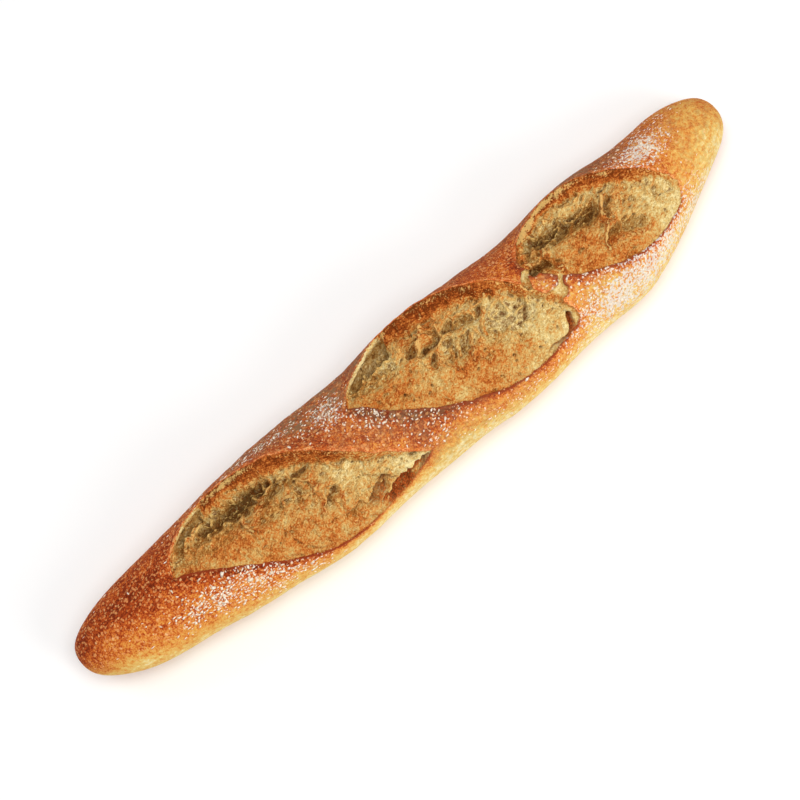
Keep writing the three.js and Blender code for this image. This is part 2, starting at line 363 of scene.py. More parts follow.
def slash_places(slash, number, maps, place):
    """Each point's place along a slash (s) and across it (t), wavering a little, and its length."""
    (x0, v0), (x1, v1) = slash["start"], slash["end"]
    length = math.hypot(x1 - x0, v1 - v0)
    ux, uv = (x1 - x0) / length, (v1 - v0) / length
    wobble = [layered(place, 6.0, 2, 40 + 5 * number + n) for n in (0, 2)]
    wave = layered(place, 16.0, 1, 60 + number)
    sx = maps["x"] + 0.55 * wobble[0] + 0.5 * wave - x0
    sv = maps["v"] + 0.55 * wobble[1] + 0.5 * wave - v0
    return sx * ux + sv * uv, sv * ux - sx * uv, length


def edge_distances(slash, s, t, length, ear, low):
    """The distances to the ear's edge and to the low edge."""
    beyond, aside = EDGE_NEAR
    near = (s > -beyond) & (s < length + beyond) & (t > low - aside) & (t < ear + aside)
    distances = []
    for name in ("ear", "low"):
        distance = np.full(s.shape, NO_EDGE, np.float32)
        line = EDGE_SHARES * length, edge_at(slash[name], EDGE_SHARES)
        distance[near] = distance_to(s[near], t[near], *line)
        distances.append(distance)
    return distances


def undercut(slash, number, s, t, along, ear_side):
    """How far the opening goes on under the ear."""
    over = 0.0
    for first, last, reach in slash["undercuts"]:
        start = ease(along, first, first + 0.05)
        over = over + reach * start * (1 - ease(along, last - 0.06, last))
    return over * ear_side * (1 + 0.35 * layered_flat(s, t, 0.5, 6.0, 2, 160 + number))


def hollows_and_ridges(slash, number, s, t, along):
    """Extra depth and extra height in the crumb. Wide hollows have thin webs in them."""
    stray = mix(2.2, 0.3, ease(along, 0.66, 0.8))
    ws = s + stray * layered_flat(s, t, 0.5, 8.0, 3, 120 + number)
    wt = t + stray * layered_flat(s, t, 7.5, 8.0, 3, 120 + number)
    webs = 1 - np.abs(layered_flat(s, t, 3.5, 9.0, 2, 130 + number))
    webs = 0.75 * ease(webs, 0.8, 1.0) + 0.25 * layered_flat(s, t, 5.5, 3.0, 2, 140 + number)
    cave = 0.0
    for hollow in slash["hollows"]:
        width, deepest = hollow[-2:]
        filled = webs * ease(width, 4.0, 9.0)
        cave = np.maximum(cave, deepest * within(hollow, ws, wt, 1.25) * (1 - filled))
    crest = 0.0
    for ridge in slash["ridges"]:
        crest = np.maximum(crest, ridge[-1] * within(ridge, ws, wt))
    return cave, crest


def open_up(maps, opening, **values):
    """Puts values into the maps where a point lies further inside this opening than others."""
    chosen = opening > maps["opening"]
    for name, value in dict(values, opening=opening).items():
        maps[name] = np.where(chosen, value, maps[name]).astype(np.float32)


def add_slash(slash, number, maps, place):
    """Cuts one slash into the maps."""
    s, t, length = slash_places(slash, number, maps, place)
    along = s / length
    ear = edge_at(slash["ear"], along)
    low = edge_at(slash["low"], along)
    gap = np.maximum(ear - low, 1.0)

    # the crust's climb to the ear
    fade = np.sqrt(np.maximum(np.sin(math.pi * np.clip(along, 0, 1)), 0))
    behind = np.exp(np.minimum((ear - t) / EAR_REACH, 0))
    climb = np.where(t > ear, behind, np.clip((t - low) / gap, 0, 1))
    rise = slash["rise"] * fade * climb
    maps["rise"] = np.maximum(maps["rise"], rise)

    # distances from the edges, positive inside the opening
    to_ear, to_low = edge_distances(slash, s, t, length, ear, low)
    inside = (along > 0) & (along < 1) & (t > low) & (t < ear)
    opening = np.where(inside, 1, -1) * np.minimum(to_ear, to_low)
    ear_side = ease(to_low - to_ear, -3, 3)
    over = undercut(slash, number, s, t, along, ear_side)
    undermined = np.clip(over / 2, 0, 1)

    # the ear's inner face, and the crumb below it
    share = np.clip((t - low) / gap, 0, 1.3)
    start_width, later_width, *change = slash["face"]
    face = mix(start_width, later_width, ease(along, *change))
    face = face * (1 + 0.4 * noise(s / 7, t / 7, 0.5, 90 + number)) * np.clip(fade * 1.3, 0.3, 1)
    slope = mix(ease(to_ear, 0, face), 1, undermined)
    crumb = mix(BODY[1][0], np.interp(share, *BODY), fade) + crumb_relief(s, t, share, place, number)
    depth = mix(0.9 - rise, np.maximum(crumb, 0.5), slope)

    # its hollows and ridges
    cave, crest = hollows_and_ridges(slash, number, s, t, along)
    below_face = ease(to_ear - face, -0.5, 0.7)
    cave = blurred(cave * mix(below_face, 1, undermined), 1.0)
    crest = crest * ease(opening, 0, 1.5)
    depth = depth + cave - crest
    cave = np.maximum(cave - crest, 0)
    face = ease(face * 1.05 - to_ear, 0, face * 0.6)
    open_up(
        maps, opening, depth=depth, cave=cave, crest=crest, face=face, over=over, share=share,
        along=along, ear_side=ear_side,
    )


def add_tear(tear, maps, place):
    """A short narrow tear, which shows only where there is no slash."""
    wave = [layered(place, 5.0, 2, 150 + n) for n in (0, 2)]
    away = beside(tear, maps["x"] + wave[0], maps["v"] + wave[1])[0]
    width, depth = tear[-2:]
    opening = width / 2 * (1 - away)
    depth = depth * np.exp(-(away**4)) + 0.4 + 0.8 * layered(place, 3.0, 3, 155)
    open_up(maps, opening, depth=depth, along=TEAR_ALONG)


def crumb_relief(s, t, share, place, number):
    """The unevenness of torn crumb, as extra depth."""
    seed = 200 + 20 * number
    ws = s + 1.7 * noise(s / 5, t / 5, 0.5, seed)
    wt = t + 1.7 * noise(s / 5, t / 5, 7.5, seed)
    upper = ease(share, 0.35, 0.6) * (1 - ease(share, 0.88, 1.0))
    patchy = ease(layered_flat(s, t, 0.5, 14.0, 1, seed + 12), -0.5, 0.5)

    # lumps and grains at all sizes
    relief = 1.35 * layered(place, 10.0, 2, seed + 5) + 1.2 * layered(place, 3.6, 3, seed + 8)

    # cups with thin walls, in a row below the ear
    nearest, second, pick = cells_2d(ws / 1.15, wt, 8.0, seed + 1)
    cups = ease(second - nearest, 0.2, 2.6) * (0.4 + pick)
    relief = relief + 2.8 * (cups - 0.45) * upper * mix(0.4, 1.0, patchy)

    # granules
    nearest, second, pick = cells_2d(ws, wt, 2.5, seed + 2)
    grain = 1 - ease(nearest, 0.2, 1.7)
    relief = relief - 0.7 * (0.5 + pick) * (grain - 0.4) * mix(1.0, 0.5, upper)

    # torn ribs that cross the opening
    turn = RIB_TURN + math.radians(6 * number)
    along = ws * math.cos(turn) + wt * math.sin(turn)
    across = wt * math.cos(turn) - ws * math.sin(turn)
    ribs = 1 - np.abs(noise(along / 9, across / 2.7, 3.5, seed + 3))
    relief = relief - 2.4 * (ribs**4 - 0.3) * ease(share, 0.2, 0.6) * mix(1.0, 0.3, patchy)
    strands = 1 - np.abs(noise(along / 6, across / 1.5, 5.5, seed + 13))
    relief = relief - 1.3 * (strands**3 - 0.4) * ease(share, 0.05, 0.4)

    # pinholes
    nearest, second, pick = cells_2d(ws, wt, 5.6, seed + 4)
    radius = 0.3 + 0.8 * pick**3
    pinhole = (1 - ease(nearest, radius * 0.6, radius * 1.5)) * (pick > 0.6)
    return relief + 2.2 * pinhole


def rolled(x, v):
    """Where places of the maps lie in space, if the loaf were a plain cylinder."""
    angle = v / RADIUS
    return x, RADIUS * np.sin(angle), RADIUS * np.cos(angle)


def make_maps():
    x, v = np.meshgrid(MAP_X, MAP_V, indexing="ij")
    place = rolled(x, v)
    empty = np.zeros(x.shape, np.float32)
    maps = {"x": x, "v": v, "opening": empty - NO_EDGE}
    for name in ("rise", "depth", "over", "share", "along", "ear_side", "face", "cave", "crest"):
        maps[name] = empty
    for number, slash in enumerate(SLASHES):
        add_slash(slash, number, maps, place)
    for tear in TEARS:
        add_tear(tear, maps, place)
    towards_end = ease(maps["along"], 0.6, 0.75)
    maps["lean"] = blurred(mix(LEAN, END_LEAN, towards_end), 3.0)
    relief = 0.42 * layered(place, 24.0, 2, 11) + 0.16 * layered(place, 6.0, 2, 21)
    maps["relief"] = relief.astype(np.float32)

    # how far the crumb lies below its surroundings
    torn = maps["opening"] > 0
    weight = torn.astype(np.float32)
    crumb = np.where(torn, maps["depth"], 0)
    mean = blurred(crumb * weight, FINE_REACH) / np.maximum(blurred(weight, FINE_REACH), 0.05)
    maps["fine"] = np.where(torn, maps["depth"] - mean, 0)
    return maps


def sample(field, x, v):
    """Reads a map at points, between its values."""
    i = np.clip((x - MAP_X[0]) / STEP, 0, len(MAP_X) - 1.001)
    j = np.clip((v - MAP_V[0]) / V_STEP, 0, len(MAP_V) - 1.001)
    i0, j0 = i.astype(np.int32), j.astype(np.int32)
    a, b = i - i0, j - j0
    top = field[i0, j0] * (1 - b) + field[i0, j0 + 1] * b
    bottom = field[i0 + 1, j0] * (1 - b) + field[i0 + 1, j0 + 1] * b
    return top * (1 - a) + bottom * a


# ---------- the loaf in space
LIP = 2.6  # thickness of the ear's overhanging crust
CRUST = 0.7  # thickness of what looks like crust in a broken edge
# painted shade under the ear's overhang, given as the depth of a hollow
UNDER_EAR_SHADE_DEPTH = 4.8  # how deep it looks behind that
LEAN = 0.45  # how far the hollows reach under their upper edges, for each unit of depth
END_LEAN = 0.05  # and how far towards the slashes' ends
LEAN_RANGE = (1.5, 10.5)  # the depths between which they do
SOLE_ROUNDING = 2.5
TIP_ROUNDING = 5.0
NEAR = 2.5  # noise in space is only needed this close to the skin
FAR = 3.0  # and distances this far from it
SLAB = 24  # grid steps along the loaf that are worked out at once
GRID_Y = np.arange(-42.0, 42.01, STEP, dtype=np.float32)
GRID_Z = np.arange(-1.8, 63.0, STEP, dtype=np.float32)


def smooth_min(a, b, radius):
    """The lower of two fields, rounded where they meet."""
    near = np.maximum(radius - np.abs(a - b), 0) / radius
    return np.minimum(a, b) - near * near * radius / 4


def leant(maps, x, v, depth):
    """The v whose hollows a point at this depth lies in."""
    first, last = LEAN_RANGE
    return v - sample(maps["lean"], x, v) * np.clip(depth - first, 0, last - first)


def fullness(x, y, z, maps):
    """About how deep a point lies inside the bread, in millimetres; negative outside."""
    v, depth = unroll(x, y, z)
    peel = depth + sample(maps["rise"], x, v) + sample(maps["relief"], x, v)
    opening = sample(maps["opening"], x, v)
    opening = opening + sample(maps["over"], x, v) * ease(peel, LIP * 0.9, LIP * 1.4)
    near = (np.abs(opening) < NEAR) & (peel > LIP)
    opening[near] += 0.8 * layered((x[near], y[near], z[near]), 2.8, 2, 78)
    leaning = leant(maps, x, v, depth)
    crumb = depth - sample(maps["depth"], x, leaning)
    near = (np.abs(crumb) < NEAR) & (opening > -2)
    crumb[near] += 0.5 * noise(x[near] / 2.2, y[near] / 2.2, z[near] / 2.2, 77)
    full = np.minimum(peel, np.maximum(crumb, -opening))
    full = smooth_min(full, z - sole_level(x, y), SOLE_ROUNDING)
    full = smooth_min(full, LENGTH / 2 - np.abs(x), TIP_ROUNDING)
    return np.clip(full, -FAR, FAR)


def fill_space(maps):
    """The fullness at each point of the grid."""
    space = np.empty((len(MAP_X), len(GRID_Y), len(GRID_Z)), np.float32)
    for first in range(0, len(MAP_X), SLAB):
        slab = slice(first, first + SLAB)
        x, y, z = np.meshgrid(MAP_X[slab], GRID_Y, GRID_Z, indexing="ij")
        space[slab] = fullness(x, y, z, maps)
    return space


def surface_net(space):
    """The skin where space is 0, as corners in grid steps and faces of four."""
    inside = space > 0
    shape = np.array(space.shape) - 1
    count = np.zeros(shape, np.uint8)
    corners = list(np.ndindex(2, 2, 2))
    for i, j, k in corners:
        count += inside[i : i + shape[0], j : j + shape[1], k : k + shape[2]]
    active = np.argwhere((count > 0) & (count < 8))
    number = np.full(shape, -1, np.int32)
    number[tuple(active.T)] = np.arange(len(active))

    total = np.zeros((len(active), 3), np.float32)
    crossings = np.zeros(len(active), np.float32)
    for start in corners:
        for axis in range(3):
            if start[axis]:
                continue
            end = list(start)
            end[axis] = 1
            a = space[tuple((active + start).T)]
            b = space[tuple((active + end).T)]
            cross = (a > 0) != (b > 0)
            share = np.where(cross, a / np.where(cross, a - b, 1), 0)
            point = np.array(start, np.float32) + np.zeros_like(total)
            point[:, axis] += share
            total += point * cross[:, None]
            crossings += cross
    points = active + total / crossings[:, None]

    faces = []
    for axis in range(3):
        low = [slice(1, -1)] * 3
        high = list(low)
        low[axis], high[axis] = slice(0, -1), slice(1, None)
        before, after = inside[tuple(low)], inside[tuple(high)]
        b_axis, c_axis = [a for a in range(3) if a != axis]
        for out in (True, False):
            edges = np.argwhere((before != after) & (before == out)) + 1
            edges[:, axis] -= 1
            ring = []
            for db, dc in ((1, 1), (0, 1), (0, 0), (1, 0)):
                cell = edges.copy()
                cell[:, b_axis] -= db
                cell[:, c_axis] -= dc
                ring.append(number[tuple(cell.T)])
            ring = np.stack(ring, 1)
            faces.append(ring[:, ::-1] if out == (axis == 1) else ring)
    return points, np.concatenate(faces)


def add_object(name, data):
    thing = bpy.data.objects.new(name, data)
    bpy.context.scene.collection.objects.link(thing)
    return thing


def new_mesh(name, points, faces):
    """A mesh object from points in millimetres and the corners of faces."""
    mesh = bpy.data.meshes.new(name)
    mesh.from_pydata(np.asarray(points, np.float32) * MM, [], faces)
    mesh.validate()
    return add_object(name, mesh)


def points_of(thing):
    """The corners of a mesh object, in millimetres."""
    points = np.empty(len(thing.data.vertices) * 3, np.float32)
    thing.data.vertices.foreach_get("co", points)
    return points.reshape(-1, 3) / MM


def set_number(thing, name, values):
    """Gives each corner of a mesh object a number."""
    attribute = thing.data.attributes.new(name, "FLOAT", "POINT")
    attribute.data.foreach_set("value", np.asarray(values, np.float32))


def mend(mesh):
    """Deletes the few faces that thinning leaves doubled or loose, and fills their holes."""
    mesh.validate()
    form = bmesh.new()
    form.from_mesh(mesh)
    loose = [face for face in form.faces if sum(edge.is_boundary for edge in face.edges) > 1]
    bmesh.ops.delete(form, geom=loose, context="FACES")
    rims = [edge for edge in form.edges if edge.is_boundary]
    bmesh.ops.holes_fill(form, edges=rims, sides=0)
    form.to_mesh(mesh)
    form.free()


MOST_TRIANGLES = 196000


def make_loaf(maps):
    points, faces = surface_net(fill_space(maps))
    points = points * STEP + (MAP_X[0], GRID_Y[0], GRID_Z[0])
    loaf = new_mesh("loaf_skin", points, faces)
    thin = loaf.modifiers.new("thin", "DECIMATE")
    thin.ratio = MOST_TRIANGLES / (2 * len(faces))
    bpy.context.view_layer.update()
    whole = loaf.data
    thinned = loaf.evaluated_get(bpy.context.evaluated_depsgraph_get())
    loaf.data = bpy.data.meshes.new_from_object(thinned)
    loaf.data.name = "loaf_skin"
    loaf.modifiers.clear()
    bpy.data.meshes.remove(whole)
    mend(loaf.data)
    loaf.data.shade_smooth()
    return loaf


# ---------- browning and flour
BAKE_ROUND = [  # v, browning from 0, pale, to 1, nearly burnt
    (-107, 0.62), (-92, 0.60), (-80, 0.34), (-70, 0.12), (-60, 0.16), (-52, 0.26), (-44, 0.38),
    (-34, 0.52), (-20, 0.61), (-8, 0.66), (5, 0.70), (20, 0.74), (40, 0.74), (56, 0.64), (68, 0.42),
    (80, 0.34), (92, 0.60), (107, 0.62),
]
LEAST_BAKE = 0.1
# A spot is (x, v, half length, half width, change).
BAKE_SPOTS = [  # baked darker (+) or paler (-)
    (-174, 11, 34, 9, 0.16), (-166, -12, 26, 9, -0.04), (-168, -34, 30, 12, -0.1),
    (-118, -16, 34, 8, 0.06), (-195, -38, 16, 12, -0.16), (-207, 12, 10, 30, 0.08),
    (-20, -8, 24, 14, -0.02), (166, 14, 14, 9, -0.12), (-36, 18, 12, 8, -0.06), (-78, -36, 40, 9, 0.06),
    (87, -4, 6, 3, -0.14), (81, -6, 4, 2.5, 0.35), (6, -19, 22, 6, 0.18), (10, -36, 28, 11, -0.07),
    (-4, -46, 24, 10, -0.22), (10, -54, 110, 10, -0.14), (86, -6, 12, 14, -0.16),
    (110, -26, 30, 24, -0.24), (76, 17, 14, 10, -0.06), (180, 22, 10, 9, 0.06),
    (196, -8, 26, 60, -0.33), (206, 22, 16, 26, -0.14), (178, -24, 20, 16, -0.06),
    (206, -34, 14, 20, -0.06), (150, -42, 34, 8, -0.14),
]
TOAST_SPOTS = [  # crumb that is browner (+) or paler (-)
    (-26, -40, 14, 5, 0.4), (-63, -5, 14, 8, 0.12), (-114, -1, 20, 7, 0.14), (-85, -8, 60, 24, -0.03),
    (-36, -26, 22, 12, -0.05), (-46, -8, 12, 8, -0.12), (2, 2, 18, 6, 0.12), (117, 16, 14, 6, -0.1),
    (60, -5, 11, 8, -0.28), (80, -22, 10, 8, 0.1), (30, 0, 26, 10, -0.1), (4, 18, 12, 9, -0.2),
]
SHADED_SCORCH_SPOTS = [  # hollows whose walls are baked red-brown, and darkened as painted shade of an overhang
    (-26, -38, 16, 8, 1.3), (-40, -43, 7, 5, 0.7), (84, -29, 7, 8, 1.2), (72, -31, 10, 5, 1.1),
]
FLOUR_SPOTS = [  # more flour lies here
    (-118, -26, 34, 11, 0.75), (-116, -20, 26, 6, 0.4), (-97, -40, 18, 8, 0.5),
    (-143, -22, 12, 10, 0.3), (-35, 17, 9, 8, 0.9), (-52, 18, 10, 7, 0.2), (-18, -2, 6, 4, 0.7),
    (-4, -13, 8, 4, 0.6), (-20, 6, 8, 6, 0.4), (-76, 26, 22, 5, 0.4), (-20, -3, 22, 12, 0.15),
    (10, -26, 26, 7, 0.3), (50, -43, 34, 8, 0.22), (88, -44, 14, 9, 0.3), (90, -8, 13, 14, 0.1),
    (106, -28, 16, 16, 0.5), (143, -36, 30, 10, 0.85), (170, -46, 14, 9, 0.6), (166, 10, 14, 10, 0.8),
    (-86, 33, 60, 12, 0.05), (60, 42, 60, 10, 0.05), (178, 30, 20, 14, 0.2),
]
FLOUR_ALL_OVER = 0.02
FILM_SPOTS = [  # dense white flour that shows the crust in dots
    (136, -40, 38, 17, 1.0), (168, 12, 13, 9, 1.25), (-35, 17, 8, 7, 0.9), (106, -36, 20, 12, 0.6),
    (90, -10, 10, 12, 0.1), (176, -50, 14, 8, 0.7), (-72, 28, 20, 6, 0.4), (-20, 44, 60, 10, 0.1),
]
BLOOM_AND_SHADE_SPOTS = [  # a thin grey-brown bloom of flour, and painted shade on the far +y flank
    (-60, 48, 70, 20, 1.0), (50, 54, 60, 20, 1.0), (130, 40, 40, 22, 0.9), (-34, 24, 24, 14, 1.0),
    (-36, 30, 30, 14, 0.7), (-72, 28, 24, 8, 0.4), (-5, -6, 40, 22, 0.65), (10, -38, 50, 14, 0.4),
    (110, -26, 20, 20, 0.4), (140, 26, 30, 10, 0.5), (197, -10, 28, 44, 0.4), (88, -6, 12, 12, 0.4),
]


def spots_at(spots, x, v):
    """The sum of soft round spots."""
    total = 0.0
    for sx, sv, length, width, change in spots:
        total = total + change * np.exp(-(((x - sx) / length) ** 2 + ((v - sv) / width) ** 2))
    return total


def add_colour_maps(maps):
    """Browning, flour and toasting of the crumb, each from 0 to about 1."""
    x, v = maps["x"], maps["v"]
    place = rolled(x, v)
    ends = ease(maps["along"], 0.6, 0.95)
    wavy = v + 5 * layered(place, 38.0, 2, 301)
    bake = np.interp(wavy, *zip(*BAKE_ROUND)) + spots_at(BAKE_SPOTS, x, v)
    bake = bake + 0.07 * layered(place, 26.0, 2, 311) + 0.08 * layered(place, 7.0, 2, 321)
    reach = mix(5.0, 2.4, ease(maps["along"], 0.1, 0.7))
    low_edge = np.exp(-((maps["opening"] / reach) ** 2)) * (1 - maps["ear_side"]) * (1 - 0.5 * ends)
    dust = FLOUR_ALL_OVER + spots_at(FLOUR_SPOTS, x, v)
    # flour bloom, and painted shade on the far +y flank
    bloom_and_shade = np.clip(spots_at(BLOOM_AND_SHADE_SPOTS, x, v), 0, 1)

    # torn crumb, from 0, pale, to 1, brown
    pale_lip = 1.4 * np.clip(maps["over"] / 2, 0, 1)
    ear_face = 0.5 * maps["face"] * (1 - 0.4 * ends) * (1 - pale_lip)
    lower = 0.16 * (1 - ease(maps["share"], 0.3, 0.65)) * (1 - ends)
    patches = 0.15 * layered(place, 13.0, 2, 341) + 0.07 * layered(place, 5.0, 2, 351)
    toast = 0.36 + ear_face + lower * (1 - maps["face"]) + patches - 0.24 * ends
    toast = toast + 0.1 * np.clip(maps["crest"], 0, 2) * (1 - ends) + spots_at(TOAST_SPOTS, x, v)
    # red-brown baked walls, partly painted shade of an overhang
    shaded_scorch = np.clip(spots_at(SHADED_SCORCH_SPOTS, x, v), 0, 1)
    fields = {
        "bake": np.maximum(bake + 0.4 * low_edge, LEAST_BAKE),
        "dust": dust * (1 + 0.8 * layered(place, 9.0, 2, 331)),
        "film": spots_at(FILM_SPOTS, x, v) * (1 + 0.3 * layered(place, 7.0, 2, 371)),
        "bloom_and_shade": bloom_and_shade * (1 + 0.5 * layered(place, 12.0, 2, 336)),
        "toast": toast - 0.17 * np.clip(maps["fine"], -1.2, 1.2),
        "shaded_scorch": shaded_scorch * ease(maps["cave"], 0.5, 2.5),
    }
    for name, field in fields.items():
        maps[name] = field.astype(np.float32)


def add_numbers(loaf, maps):
    """What the material needs to know at each corner of the skin."""
    x, y, z = points_of(loaf).T
    v, depth = unroll(x, y, z)
    opening = sample(maps["opening"], x, v)
    peel = depth + sample(maps["rise"], x, v) + sample(maps["relief"], x, v)

    # the sole and the rounded tips cut into the loaf, but look like crust
    sole = ease(2.0 - (z - sole_level(x, y)), 0, 1.5)
    tips = ease(np.abs(x), LENGTH / 2 - 4.5, LENGTH / 2 - 3.0)
    peel = peel * (1 - np.maximum(sole, tips))
    set_number(loaf, "rim", np.maximum(np.clip(opening, -6, 2), peel - CRUST))
    set_number(loaf, "edge", opening)

    # under the ear and in the hollows: depths that the material turns into painted shade
    leaning = leant(maps, x, v, depth)
    under_ear = np.clip(sample(maps["over"], x, v) / 3, 0, 1) * ease(opening, 1.0, -0.5)
    under_ear = under_ear * ease(peel, LIP, LIP * 1.6)
    cave = sample(maps["cave"], x, leaning) * ease(peel, LIP * 0.8, LIP * 1.3)
    # the cave number also carries painted shade under the ear
    set_number(loaf, "cave", np.maximum(cave, UNDER_EAR_SHADE_DEPTH * under_ear))
    for name in ("toast", "fine", "shaded_scorch"):
        set_number(loaf, name, sample(maps[name], x, leaning))
    for name in ("bake", "dust", "film", "bloom_and_shade", "ear_side", "face"):
        set_number(loaf, name, sample(maps[name], x, v))


# ---------- flour
SPECK_CORNERS = 7
SPECK_TRIES = 150000
SPECK_CHANCE = 0.42  # of keeping a try where the crust is white with flour
SPECK_SPACE = 1.6  # between the middles of two specks
SPECK_LENGTH = 0.4, 1.05  # least and most half length
SPECK_BREADTH = 0.3, 0.6  # shares of the length
SPECK_TURN = math.radians(25)  # most specks lean this way
SPECK_TOP = 0.24  # how far the middle stands above the skin
SPECK_RIM = 0.04
SPECK_ROOT = 0.3  # how far the underside reaches into it
LOWEST_SPECK = 84.0  # how far round from the top they lie, as v


def spread_out(x, v):
    """Which of some places lie at least SPECK_SPACE from those chosen before them."""
    taken = {}
    chosen = []
    steps = (-1, 0, 1)
    for number, place in enumerate(zip(x, v)):
        i, j = (int(c // SPECK_SPACE) for c in place)
        near = [taken[i + di, j + dj] for di in steps for dj in steps if (i + di, j + dj) in taken]
        if all(math.dist(place, other) > SPECK_SPACE for other in near):
            taken[i, j] = place
            chosen.append(number)
    return chosen


def speck_places(maps, random):
    """Scattered middles of specks, more of them where the crust is dusted."""
    x = random.uniform(-LENGTH / 2 + 3, LENGTH / 2 - 3, SPECK_TRIES)
    v = random.uniform(-TURN / 2, TURN / 2, SPECK_TRIES)
    dust = np.clip(sample(maps["dust"], x, v), 0, 1)
    keep = random.uniform(size=SPECK_TRIES) < SPECK_CHANCE * dust**1.5
    keep &= sample(maps["opening"], x, v) < -0.7
    keep &= np.abs(v) < LOWEST_SPECK
    x, v = x[keep], v[keep]
    apart = spread_out(x, v)
    return x[apart], v[apart]


def add_flour(maps, loaf):
    """Small flat clumps of flour, each a closed lens with an uneven outline."""
    random = np.random.default_rng(7)
    x, v = speck_places(maps, random)
    count = len(x)
    half_length = random.uniform(*SPECK_LENGTH, count) * (1 + 0.6 * random.uniform(size=count) ** 4)
    half_length = half_length * mix(1.35, 1.0, ease(x, -90, -50))
    half_breadth = half_length * random.uniform(*SPECK_BREADTH, count)
    turn = SPECK_TURN + random.normal(0, 0.7, count)
    angles = np.linspace(0, 2 * math.pi, SPECK_CORNERS, endpoint=False)
    uneven = random.uniform(0.6, 1.25, (count, SPECK_CORNERS))
    a = half_length[:, None] * np.cos(angles) * uneven
    b = half_breadth[:, None] * np.sin(angles) * uneven
    dx = a * np.cos(turn)[:, None] - b * np.sin(turn)[:, None]
    dv = a * np.sin(turn)[:, None] + b * np.cos(turn)[:, None]
    xs = np.concatenate([x[:, None], x[:, None] + dx], 1)
    vs = np.concatenate([v[:, None], v[:, None] + dv], 1)
    rise = sample(maps["rise"], xs, vs) + sample(maps["relief"], xs, vs)
    guess = np.stack(crust_point(xs, vs, -rise), -1) * MM

    tree = BVHTree.FromObject(loaf, bpy.context.evaluated_depsgraph_get())
    lift = [SPECK_TOP] + [SPECK_RIM] * SPECK_CORNERS
    points = np.empty((count, SPECK_CORNERS + 2, 3))
    for number in range(count):
        for corner in range(SPECK_CORNERS + 1):
            place, normal, _, _ = tree.find_nearest(Vector(guess[number, corner]))
            points[number, corner] = place / MM + normal * lift[corner]
            if corner == 0:
                points[number, -1] = place / MM - normal * SPECK_ROOT

    ring = np.arange(SPECK_CORNERS) + 1
    after = np.roll(ring, -1)
    top = np.stack([np.zeros_like(ring), ring, after], 1)
    under = np.stack([np.full_like(ring, SPECK_CORNERS + 1), after, ring], 1)
    one = np.concatenate([top, under])
    faces = one[None] + (np.arange(count) * (SPECK_CORNERS + 2))[:, None, None]
    flour = new_mesh("flour_specks", points.reshape(-1, 3), faces.reshape(-1, 3))
    flour.data.shade_smooth()
    return flour


# ---------- material nodes
def colour(red, green, blue):
    """A colour as a screen shows it, 0 to 255, in linear light."""
    shares = (red / 255, green / 255, blue / 255)
    linear = [c / 12.92 if c <= 0.04045 else ((c + 0.055) / 1.055) ** 2.4 for c in shares]
    return (*linear, 1.0)


